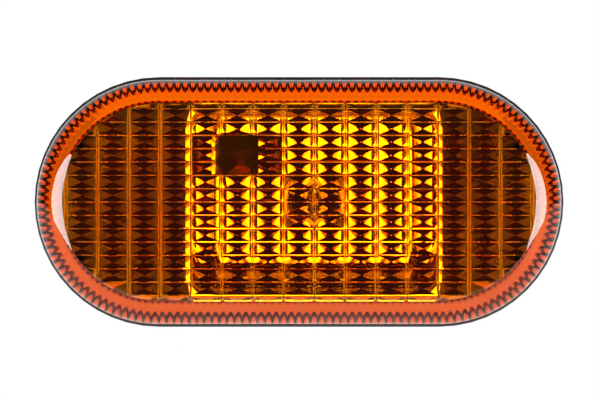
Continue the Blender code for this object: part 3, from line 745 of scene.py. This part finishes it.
@dataclass
class Lens:
    """The one-piece amber lens: skirt, rounded edge, crowned face, fluted bevel and prism field.

    Attributes:
        skirt: Thickness of the skirt.
        wall: Thickness of the face.
        fillet: Radius of the outer edge.
        draft: Slope of the skirt over its height.
        crown: Height of the face's crown.
        rim_width: Width of the rim outside the prism field.
        bevel_bow: Slope of the inner bevel at the field, over its mean slope.
        bevel_foot: Height of the bevel's foot over the skirt's rear.
        flute_pitch: Distance between flutes.
        flute_depth: Depth of the flutes.
        flute_start: Share of the bevel, from the field outwards, where the flutes begin.
        flute_fade: Share of the bevel over which they grow to their full depth.
        flute_foot: Height of the plain stretch of the skirt, from its rear.
        margin: Clearance between the rim and the field's edge.
        merge: How far joined shapes run into each other.
        field_slack: How far before the field's plane an edge still counts as on it.
        side_steps: Steps along each straight side of the outline.
        end_steps: Steps round each end of the outline.
        fillet_steps: Steps of the outer edge's curve.
        crown_steps: Steps from the outer edge to the face's middle.
        crown_share: Share of the way to the middle that the last of them reaches.
        flute_steps: Steps of each flute.
        bevel_rings: Rings from the field to the foot of the bevel.
        prisms: The prism field.
    """

    skirt: float = 1.2 * MM
    wall: float = 1.8 * MM
    fillet: float = 6.0 * MM
    draft: float = 0.2 * MM
    crown: float = 0.6 * MM
    rim_width: float = 5.0 * MM
    bevel_bow: float = 0.69
    bevel_foot: float = 1.9 * MM
    flute_pitch: float = 1.55 * MM
    flute_depth: float = 0.72 * MM
    flute_start: float = 0.35
    flute_fade: float = 0.4
    flute_foot: float = 1.6 * MM
    margin: float = 0.2 * MM
    merge: float = 0.8 * MM
    field_slack: float = 0.05 * MM
    side_steps: int = 24
    end_steps: int = 64
    fillet_steps: int = 20
    crown_steps: int = 14
    crown_share: float = 0.97
    flute_steps: int = 8
    bevel_rings: int = 12
    prisms: PrismField = field(default_factory=PrismField)

    def __post_init__(self) -> None:
        """Takes the outer sizes from the frame's lens."""
        low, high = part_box("lens")
        self.outline = Stadium(high.x - low.x, high.z - low.z)
        self.rear_y = high.y
        self.face_y = low.y + self.crown
        self.shoulder_y = self.face_y + self.fillet
        self.field_y = self.face_y + self.wall

    def body(self) -> bpy.types.Object:
        """Lofts the lens filled solid, with an edge that runs smoothly into the crown.

        Returns:
            The filled lens.
        """
        reach = self.outline.height / 2 - self.draft - self.fillet
        end = atan2(reach, 2 * self.crown)
        profile = [(0.0, self.rear_y)]
        for i in range(self.fillet_steps + 1):
            angle = end * i / self.fillet_steps
            inset = self.draft + self.fillet * (1 - cos(angle))
            profile.append((inset, self.shoulder_y - self.fillet * sin(angle)))
        edge, edge_y = profile[-1]
        top = self.face_y - self.crown
        for i in range(1, self.crown_steps + 1):
            share = self.crown_share * i / self.crown_steps
            drop = (edge_y - top) * (1 - (1 - share) ** 2)
            profile.append((edge + share * (self.outline.height / 2 - edge), edge_y - drop))
        steps = (self.side_steps, self.end_steps)
        loops = [at_depth(self.outline.points(inset, *steps), y) for inset, y in profile]
        return loft("lens_amber", loops)

    def cavity(self) -> bpy.types.Object:
        """Lofts the hollow of the lens: a skirt, a bevel with flutes that fade out on it, and the field.

        Returns:
            The hollow as a solid.
        """
        per_flute, rings = self.flute_steps, self.bevel_rings
        straight = self.outline.length - self.outline.height
        side_steps = per_flute * round(straight / self.flute_pitch)
        end_steps = per_flute * round(pi * (self.outline.height / 2 - self.skirt) / self.flute_pitch)
        foot_y = self.rear_y - self.bevel_foot
        profile = [
            (self.skirt, self.rear_y + self.merge, 0.0),
            (self.skirt, self.rear_y - self.flute_foot, 0.0),
        ]
        for i in range(rings + 1):
            share = 1 - i / rings
            fall = self.bevel_bow * share + (1 - self.bevel_bow) * share**2
            flute = self.flute_depth * min(1.0, max(0.0, (share - self.flute_start) / self.flute_fade))
            inset = self.rim_width + (self.skirt - self.rim_width) * share
            profile.append((inset, self.field_y + (foot_y - self.field_y) * fall, flute))
        loops = []
        for inset, y, flute in profile:

            def fluted(number: int, base: float = inset, depth: float = flute) -> float:
                """The inset at one point of a ring: a wave with one crest for each flute."""
                return base + depth * (1 - abs(2 * (number % per_flute) / per_flute - 1))

            loops.append(at_depth(self.outline.points(fluted, side_steps, end_steps), y))
        return loft("lens_cavity", loops)

    def build(self) -> bpy.types.Object:
        """Makes the whole lens.

        Returns:
            The lens.
        """
        lens = self.body()
        combine(lens, self.cavity(), Operation.CUT)
        reach = (self.outline.length / 2 - self.rim_width, self.outline.height / 2 - self.rim_width)
        plate = self.prisms.plate(reach, self.field_y, self.field_y - self.merge)
        behind = self.field_y + 3 * self.prisms.rise
        border = self.outline.points(self.rim_width + self.margin, self.side_steps, self.end_steps)
        clip = prism("field_clip", border, self.field_y - 2 * self.merge, behind)
        combine(plate, clip, Operation.COMMON)
        combine(plate, self.prisms.pad(self.field_y + self.prisms.proud / 3, behind), Operation.CUT)
        combine(lens, plate, Operation.JOIN)
        shade(lens, self.sharp_limit)
        even_normals(lens)
        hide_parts("lens")
        return lens

    def sharp_limit(self, edge: bmesh.types.BMEdge) -> float:
        """Gives the angle over which an edge is sharp, which is less among the prisms."""
        behind_face = min(v.co.y for v in edge.verts) > self.field_y - self.field_slack
        return SHARP_ON_PRISMS if behind_face and self.inside(edge) else SHARP_ON_LENS

    def inside(self, edge: bmesh.types.BMEdge) -> bool:
        """Tells whether an edge lies on the prism field and not on the rim or the skirt."""
        half = (self.outline.length - self.outline.height) / 2
        limit = self.outline.height / 2 - self.rim_width
        spans = [sqrt(max(0.0, abs(v.co.x) - half) ** 2 + v.co.z**2) for v in edge.verts]
        return max(spans) < limit

    def dress(self, piece: bpy.types.Object) -> None:
        """Gives the lens its finish."""
        dress(piece, AMBER_ACRYLIC, Body.LAMP)


@dataclass
class Reflector:
    """The bright dished tray behind the lens.

    Attributes:
        wall: Thickness of the tray.
        lip: How far its lip reaches over the flange.
        side_taper: How far the sides and the top are drawn in at the back.
        foot_taper: How far the foot is drawn in at the back.
        corner: Radius of the corners inside.
        bulb_hole: Radius of the hole for the bulb.
        merge: How far joined shapes run into each other.
        steps: Steps of its curve, from the lip to the floor.
    """

    wall: float = 1.0 * MM
    lip: float = 1.1 * MM
    side_taper: float = 2.0 * MM
    foot_taper: float = 8.5 * MM
    corner: float = 4.5 * MM
    bulb_hole: float = 5.85 * MM
    merge: float = 0.8 * MM
    steps: int = 18

    def __post_init__(self) -> None:
        """Takes the outer sizes from the frame's reflector."""
        low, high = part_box("reflector")
        self.centre_x = (low.x + high.x) / 2
        self.length = high.x - low.x - 2 * (self.lip + self.wall)
        self.height = high.z - low.z - 2 * (self.lip + self.wall)
        self.lip_front_y = low.y
        self.lip_back_y = low.y + self.wall
        self.back_y = high.y

    def section(self, grow: float, share: float, y: float) -> Loop:
        """Draws the tray at one depth.

        Args:
            grow: How far the section is grown all round.
            share: Share of the tapers, from 0 at the lip to 1 at the back.
            y: The depth.

        Returns:
            The section's points.
        """
        side, foot = share * self.side_taper, share * self.foot_taper
        outline = RoundedRectangle(
            self.length + 2 * (grow - side), self.height + 2 * grow - side - foot,
            self.corner + grow, (self.centre_x, (foot - side) / 2),
        )
        return at_depth(outline.points(), y)

    def dish(self, name: str, grow: float, front_y: float, back_y: float) -> bpy.types.Object:
        """Lofts the dished form.

        Args:
            name: Name of the solid.
            grow: How far it is grown all round.
            front_y: Depth of its front.
            back_y: Depth of its floor.

        Returns:
            The solid.
        """
        loops = [self.section(grow, 0.0, front_y)]
        for i in range(self.steps + 1):
            angle = pi / 2 * i / self.steps
            y = self.lip_back_y + (back_y - self.lip_back_y) * sin(angle)
            loops.append(self.section(grow, 1 - cos(angle), y))
        return loft(name, loops)

    def build(self) -> bpy.types.Object:
        """Makes the tray with its lip and the hole for the bulb.

        Returns:
            The reflector.
        """
        border = 2 * (self.wall + self.lip)
        frame_outline = RoundedRectangle(
            self.length + border, self.height + border, self.corner + border / 2, (self.centre_x, 0.0)
        )
        tray = prism("reflector_bright", frame_outline.points(), self.lip_front_y, self.lip_back_y)
        outside = self.dish("outside", self.wall, self.lip_front_y + self.wall / 2, self.back_y)
        combine(tray, outside, Operation.JOIN)
        inside = self.dish("inside", 0.0, self.lip_front_y - self.merge, self.back_y - self.wall)
        combine(tray, inside, Operation.CUT)
        ring = circle(self.bulb_hole, (HOLDER_AXIS.x, HOLDER_AXIS.z))
        hole = prism("hole", ring, self.lip_back_y + self.wall, self.back_y + self.merge)
        combine(tray, hole, Operation.CUT)
        shade(tray, lambda edge: SHARP_ON_TRAY)
        even_normals(tray)
        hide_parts("reflector")
        return tray

    def dress(self, piece: bpy.types.Object) -> None:
        """Gives the tray its finish."""
        dress(piece, METALLISED, Body.LAMP)


@dataclass
class Housing:
    """The black housing and the foam gasket behind its flange.

    Attributes:
        edge: Radius of the housing's moulded edges.
        foam_edge: Radius of the gasket's cut edges.
    """

    edge: float = 0.2 * MM
    foam_edge: float = 0.12 * MM

    def build(self) -> tuple[bpy.types.Object, bpy.types.Object]:
        """Makes the housing and the gasket from the frame's solids.

        Returns:
            The housing and the gasket.
        """
        housing = softened("housing", "housing_black", self.edge)
        return housing, softened("panel_gasket", "gasket_foam", self.foam_edge)

    def dress(self, housing: bpy.types.Object, gasket: bpy.types.Object) -> None:
        """Gives both pieces their finishes."""
        dress(housing, BLACK_ABS, Body.LAMP)
        dress(gasket, FOAM, Body.LAMP)


@dataclass
class BulbHolder:
    """The quarter-turn holder, its seal and its two terminals.

    Attributes:
        edge: Radius of the holder's moulded edges.
        strip_edge: Radius of the stamped strips' edges.
        ring_steps: Steps round the seal.
        section_steps: Steps round the seal's section.
    """

    edge: float = 0.16 * MM
    strip_edge: float = 0.06 * MM
    ring_steps: int = 96
    section_steps: int = 20

    def build(self) -> dict[str, bpy.types.Object]:
        """Makes the holder, the seal and the terminals.

        Returns:
            The pieces by name.
        """
        low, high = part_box("holder_seal")
        section = (high.y - low.y) / 2
        radius = (high.x - low.x) / 2 - section
        loops = []
        for turn in range(self.ring_steps):
            angle = 2 * pi * turn / self.ring_steps
            out = Vector((cos(angle), 0.0, sin(angle)))
            centre = Vector((HOLDER_AXIS.x, (low.y + high.y) / 2, HOLDER_AXIS.z)) + out * radius
            points = circle(section, steps=self.section_steps)
            loops.append([centre + out * x + Vector((0.0, y, 0.0)) for x, y in points])
        seal = loft("seal_ring", loops, closed=True)
        shade(seal, lambda edge: SHARP_ON_RUBBER)
        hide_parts("holder_seal")
        return {
            "holder": softened("bulb_holder", "holder_moulded", self.edge),
            "seal": seal,
            "left": softened("terminal_left", "terminal_strip_left", self.strip_edge),
            "right": softened("terminal_right", "terminal_strip_right", self.strip_edge),
        }

    def dress(self, pieces: dict[str, bpy.types.Object]) -> None:
        """Gives each piece its finish."""
        dress(pieces["holder"], NYLON, Body.HOLDER)
        dress(pieces["seal"], SILICONE, Body.HOLDER)
        dress(pieces["left"], TINNED_BRASS, Body.HOLDER)
        dress(pieces["right"], TINNED_BRASS, Body.HOLDER)


@dataclass
class Bulb:
    """The wedge-base capsule bulb: glass, coiled filament and lead wires.

    Attributes:
        edge: Radius of the pressed wedge's edges.
        coil_turns: Turns of the filament's coil.
        coil_wire: Radius of the filament's wire.
        turn_steps: Steps of each turn.
        wire_sides: Steps in each quarter of the wire's section.
    """

    edge: float = 0.1 * MM
    coil_turns: int = 14
    coil_wire: float = 0.07 * MM
    turn_steps: int = 16
    wire_sides: int = 2

    def build(self) -> dict[str, bpy.types.Object]:
        """Makes the glass, the filament and the leads.

        Returns:
            The pieces by name.
        """
        pieces = {"glass": softened("bulb_glass", "bulb_clear", self.edge)}
        low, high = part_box("filament")
        middle = (low + high) / 2
        radius = (high.z - low.z) / 2 - self.coil_wire
        length = high.x - low.x - 2 * self.coil_wire
        points = []
        steps = self.turn_steps * self.coil_turns
        for i in range(steps + 1):
            angle = 2 * pi * i * self.coil_turns / steps
            across = Vector((length * (i / steps - 0.5), radius * cos(angle), radius * sin(angle)))
            points.append(middle + across)
        pieces["filament"] = round_wire("filament_coil", points, self.coil_wire, self.wire_sides)
        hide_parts("filament")
        return pieces

    def dress(self, pieces: dict[str, bpy.types.Object]) -> None:
        """Gives each piece its finish, and the frame's own lead wires theirs."""
        dress(pieces["glass"], BULB_GLASS, Body.HOLDER)
        dress(pieces["filament"], TUNGSTEN, Body.HOLDER)
        for side in ("left", "right"):
            lead = frame["nodes"][f"lead_wire_{side}"]
            lead.data.materials.clear()
            lead.data.materials.append(DRAWN_WIRE.material())


@dataclass(frozen=True)
class SoftBox:
    """A studio light with an even face, aimed at the lamp.

    Attributes:
        name: Its name.
        azimuth: Angle to the right of the camera, in degrees.
        elevation: Angle above the horizon, in degrees.
        distance: Distance from the lamp.
        width: Width of its face.
        height: Height of its face.
        radiance: Brightness of its face, where 1 is white.
        rays: What sees it.
        face: Form of its face.
        paired: True sets up a second one on the other side of the camera.
    """

    name: str
    azimuth: float
    elevation: float
    distance: float
    width: float
    height: float
    radiance: float
    rays: Rays
    face: Face = Face.SQUARE
    paired: bool = True

    def place(self) -> None:
        """Adds the light to the scene, and its pair if it has one."""
        for side in (1, -1) if self.paired else (1,):
            light = bpy.data.lights.new(self.name, "AREA")
            light.shape = self.face.value
            light.size = self.width
            light.size_y = self.height
            share = pi / 4 if self.face is Face.ROUND else 1.0
            light.energy = self.radiance * self.width * self.height * share * pi
            lamp = bpy.data.objects.new(self.name, light)
            azimuth, elevation = radians(side * self.azimuth), radians(self.elevation)
            away = Vector((sin(azimuth) * cos(elevation), -cos(azimuth) * cos(elevation), sin(elevation)))
            lamp.location = away * self.distance
            lamp.rotation_euler = (-away).to_track_quat("-Z", "Y").to_euler()
            lamp.visible_camera = False
            lamp.visible_diffuse = Rays.DIFFUSE in self.rays
            lamp.visible_glossy = Rays.GLOSSY in self.rays
            lamp.visible_transmission = Rays.TRANSMISSION in self.rays
            bpy.context.scene.collection.objects.link(lamp)


@dataclass
class Studio:
    """Pale floor, white backdrop, soft lights and the camera.

    Attributes:
        floor_z: Height of the floor.
        camera_distance: Distance of the camera from the panel's plane.
        pixel: Size of one pixel of the picture, at the lens.
        aim: What the middle of the picture shows, as x and z.
        image_width: Width of the picture, in pixels.
        sensor: Width of the camera's sensor, in millimetres.
        room: Brightness of the room in front of the lamp, where 1 is white.
        backdrop: Y of the directions between which the room turns to the white backdrop.
        floor_reach: Half of the floor's side.
        floor_shift: How far behind the lamp the floor's middle lies.
        floor_fade: Distances from under the lamp between which the paper turns to plain white.
        paper: Colour of the paper, sRGB.
        paper_roughness: Roughness of the paper.
        near_clip: Nearest distance that the camera shows.
        boxes: The lights.
    """

    floor_z: float = -75 * MM
    camera_distance: float = 1.2
    pixel: float = 0.2022 * MM
    aim: Point = (0.2 * MM, 0.4 * MM)
    image_width: int = 600
    sensor: float = 36.0
    room: float = 0.03
    backdrop: Point = (0.2, 0.9)
    floor_reach: float = 6.0
    floor_shift: float = 5.7
    floor_fade: Point = (0.12, 0.7)
    paper: str = "#e9e8e6"
    paper_roughness: float = 0.9
    near_clip: float = 0.01
    boxes: tuple[SoftBox, ...] = (
        # Plain light for the floor and for every dull surface, from the front and from behind
        SoftBox("fill", 40.0, 35.0, 1.2, 0.6, 0.6, 8.0, Rays.DIFFUSE),
        SoftBox("rear fill", 145.0, 45.0, 1.2, 0.6, 0.6, 3.0, Rays.DIFFUSE),
        # What the mirror and the prisms send back to the camera, as bright and dark facets
        SoftBox("box", 27.0, 4.0, 1.2, 0.6, 0.9, 10.0, Rays.TRANSMISSION),
        SoftBox("top", 0.0, 28.0, 1.2, 0.8, 0.4, 10.0, Rays.TRANSMISSION, paired=False),
        # The glow of the lens's upper edge
        SoftBox("rear", 180.0, 48.0, 1.2, 1.4, 0.7, 0.4, Rays.TRANSMISSION, paired=False),
        # White crescents on the lens's round ends
        SoftBox("strip", 38.0, 0.0, 1.2, 0.92, 0.64, 14.0, Rays.GLOSSY, Face.ROUND),
    )

    def surroundings(self) -> None:
        """Makes the world: white behind the lamp and to a camera, and a dim room in front of the lens."""
        world = bpy.data.worlds.new("studio")
        world.use_nodes = True
        tree = world.node_tree
        direction = add_node(tree, "ShaderNodeTexCoord").outputs["Generated"]
        along_y = add_node(tree, "ShaderNodeSeparateXYZ", {0: direction}).outputs["Y"]
        room = add_node(tree, "ShaderNodeMapRange", {
            "Value": along_y, "From Min": self.backdrop[0], "From Max": self.backdrop[1],
            "To Min": self.room, "To Max": 1.0,
        }, interpolation_type="SMOOTHSTEP")
        seen = add_node(tree, "ShaderNodeLightPath").outputs["Is Camera Ray"]
        level = add_node(tree, "ShaderNodeMix", {0: seen, 2: room.outputs["Result"], 3: 1.0})
        background = tree.nodes["Background"]
        background.inputs["Color"].default_value = (1.0, 1.0, 1.0, 1.0)
        tree.links.new(level.outputs[0], background.inputs["Strength"])
        bpy.context.scene.world = world

    def floor(self) -> None:
        """Lays a pale floor that shows the lamp's shadow near it and is white further off."""
        bm = bmesh.new()
        bmesh.ops.create_grid(bm, x_segments=1, y_segments=1, size=self.floor_reach)
        bmesh.ops.translate(bm, verts=bm.verts, vec=(0.0, self.floor_shift, 0.0))
        floor = add_piece("floor", bm)
        floor.location.z = self.floor_z
        paper = bpy.data.materials.new("paper floor")
        paper.use_nodes = True
        tree = paper.node_tree
        shader = tree.nodes["Principled BSDF"]
        shader.inputs["Base Color"].default_value = linear(self.paper)
        shader.inputs["Roughness"].default_value = self.paper_roughness
        place = add_node(tree, "ShaderNodeTexCoord").outputs["Object"]
        far = add_node(tree, "ShaderNodeVectorMath", {0: place}, operation="LENGTH")
        fade = add_node(tree, "ShaderNodeMapRange", {
            "Value": far.outputs["Value"],
            "From Min": self.floor_fade[0], "From Max": self.floor_fade[1],
        }, interpolation_type="SMOOTHSTEP")
        path = add_node(tree, "ShaderNodeLightPath")
        seen = add_node(tree, "ShaderNodeMath", {
            0: path.outputs["Is Camera Ray"], 1: path.outputs["Is Glossy Ray"],
        }, operation="MAXIMUM")
        seen = add_node(tree, "ShaderNodeMath", {
            0: seen.outputs[0], 1: path.outputs["Is Transmission Ray"],
        }, operation="MAXIMUM")
        share = add_node(tree, "ShaderNodeMath", {
            0: fade.outputs["Result"], 1: seen.outputs[0],
        }, operation="MULTIPLY")
        white = add_node(tree, "ShaderNodeEmission", {"Color": (1.0, 1.0, 1.0, 1.0), "Strength": 1.0})
        mixed = add_node(tree, "ShaderNodeMixShader", {
            0: share.outputs[0], 1: shader.outputs[0], 2: white.outputs[0],
        })
        tree.links.new(mixed.outputs[0], tree.nodes["Material Output"].inputs["Surface"])
        floor.data.materials.append(paper)

    def lights(self) -> None:
        """Sets up the soft boxes."""
        for box in self.boxes:
            box.place()

    def camera(self) -> None:
        """Sets the camera square on to the lens."""
        data = bpy.data.cameras.new("camera")
        data.sensor_width = self.sensor
        to_lens = self.camera_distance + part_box("lens")[0].y
        data.lens = self.sensor * to_lens / (self.image_width * self.pixel)
        data.clip_start = self.near_clip
        camera = bpy.data.objects.new("camera", data)
        camera.location = (self.aim[0], -self.camera_distance, self.aim[1])
        camera.rotation_euler = (radians(90), 0.0, 0.0)
        bpy.context.scene.collection.objects.link(camera)
        bpy.context.scene.camera = camera

    def build(self) -> None:
        """Makes the whole studio."""
        self.surroundings()
        self.floor()
        self.lights()
        self.camera()
        bpy.context.scene.view_settings.view_transform = "Standard"


def main() -> None:
    """Builds the studio and the lamp's pieces in order."""
    logging.basicConfig(level=logging.INFO, format="%(name)s: %(message)s")
    Studio().build()
    for part in (Lens(), Reflector()):
        part.dress(part.build())
    housing = Housing()
    housing.dress(*housing.build())
    holder = BulbHolder()
    holder.dress(holder.build())
    bulb = Bulb()
    bulb.dress(bulb.build())


if __name__ == "__main__":
    main()
